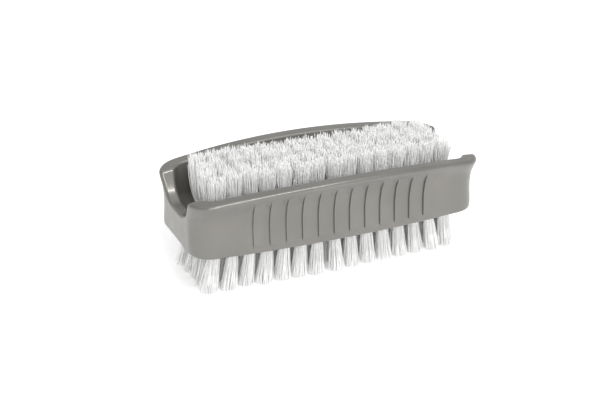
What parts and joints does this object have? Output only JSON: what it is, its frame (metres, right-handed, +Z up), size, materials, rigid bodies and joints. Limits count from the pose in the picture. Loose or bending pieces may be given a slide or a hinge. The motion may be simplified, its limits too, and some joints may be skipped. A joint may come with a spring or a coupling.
{
  "type": "nail brush",
  "caption": "Double-sided nail brush: a silver-grey moulded trough handle with bowed, ribbed walls and notched ends, and white bristle tufts above and below its deck.",
  "frame": {"origin": "centre of the plan, on the plane of the lower bristle tips, where the brush rests", "axes": "+X along the brush, -Y towards the long side that the picture shows, +Z up"},
  "size_m": [0.0954, 0.0444, 0.0366],
  "materials": {
    "handle_plastic": "satin, metallic silver-grey, opaque",
    "bristle": "white nylon filament",
    "anchor_metal": "plain drawn wire"
  },
  "bodies": {
    "root": {"handle": "handle_plastic", "lower_tufts_01": "bristle", "lower_tufts_02": "bristle", "lower_tufts_03": "bristle", "lower_tufts_04": "bristle", "lower_tufts_05": "bristle", "lower_tufts_06": "bristle", "lower_tufts_07": "bristle", "lower_tufts_08": "bristle", "lower_tufts_09": "bristle", "lower_tufts_10": "bristle", "lower_tufts_11": "bristle", "lower_tufts_12": "bristle", "lower_tufts_13": "bristle", "lower_tufts_14": "bristle", "lower_tufts_15": "bristle", "upper_tufts_01": "bristle", "upper_tufts_02": "bristle", "upper_tufts_03": "bristle", "upper_tufts_04": "bristle", "upper_tufts_05": "bristle", "upper_tufts_06": "bristle", "upper_tufts_07": "bristle", "upper_tufts_08": "bristle", "upper_tufts_09": "bristle", "upper_tufts_10": "bristle", "upper_tufts_11": "bristle", "upper_tufts_12": "bristle", "upper_tufts_13": "bristle", "upper_tufts_14": "bristle", "upper_tufts_15": "bristle", "lower_anchors_1": "anchor_metal", "lower_anchors_2": "anchor_metal", "lower_anchors_3": "anchor_metal", "lower_anchors_4": "anchor_metal", "lower_anchors_5": "anchor_metal", "upper_anchors_1": "anchor_metal", "upper_anchors_2": "anchor_metal", "upper_anchors_3": "anchor_metal", "upper_anchors_4": "anchor_metal"}
  },
  "joints": []
}
